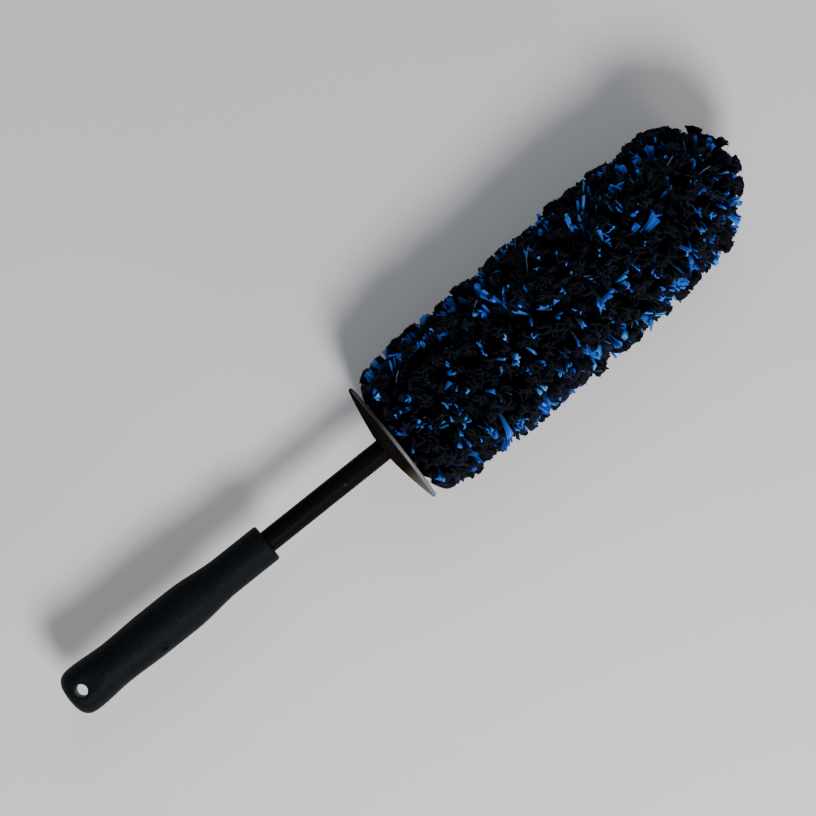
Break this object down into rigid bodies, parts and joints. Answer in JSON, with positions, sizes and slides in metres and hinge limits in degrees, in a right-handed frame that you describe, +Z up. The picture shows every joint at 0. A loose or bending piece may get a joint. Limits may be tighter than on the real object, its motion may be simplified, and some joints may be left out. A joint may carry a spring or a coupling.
{
  "type": "wheel brush",
  "caption": "Hand-held wheel brush with a soft grip, slim shaft, dished guard disc and a tufted microfibre head that bends on a twisted wire core.",
  "frame": {"origin": "centre of the footprint's bounding box, on the surface that the brush lies on", "axes": "+X along the shaft from the butt of the grip to the tip of the head, +Z up along the axis of the hanging hole, +Y towards the side the head is set to"},
  "size_m": [0.4587, 0.0884, 0.0787],
  "materials": {
    "grip_rubber": "matt, fine grain",
    "shaft_plastic": "satin black",
    "guard_plastic": "glossy smoke brown",
    "steel": "drawn wire",
    "pile_black": "black microfibre pile",
    "pile_blue": "blue microfibre tufts"
  },
  "bodies": {
    "handle": {"grip": "grip_rubber", "shaft_tube": "shaft_plastic", "rear_plug": "shaft_plastic", "stem_socket": "shaft_plastic", "cross_pin": "steel", "guard_disc": "guard_plastic", "guard_clip": "steel", "pile_01": "pile_black"},
    "head": {"core_wire": "steel", "tip_cap": "shaft_plastic", "pile_02": "pile_black", "pile_03": "pile_black", "pile_04": "pile_black", "pile_05": "pile_black", "pile_06": "pile_black", "pile_07": "pile_black", "pile_08": "pile_black", "pile_09": "pile_black", "pile_10": "pile_black", "pile_11": "pile_black", "pile_12": "pile_black", "pile_tip": "pile_black"}
  },
  "joints": [
    {"name": "head_flex", "type": "hinge", "parent": "handle", "child": "head", "pos_m": [0.00985, -0.00352, 0.0382], "axis": [0, 0, 1], "range_deg": [-12, 12], "stiffness_Nm_per_rad": 10, "deforming": ["core_wire"]}
  ]
}
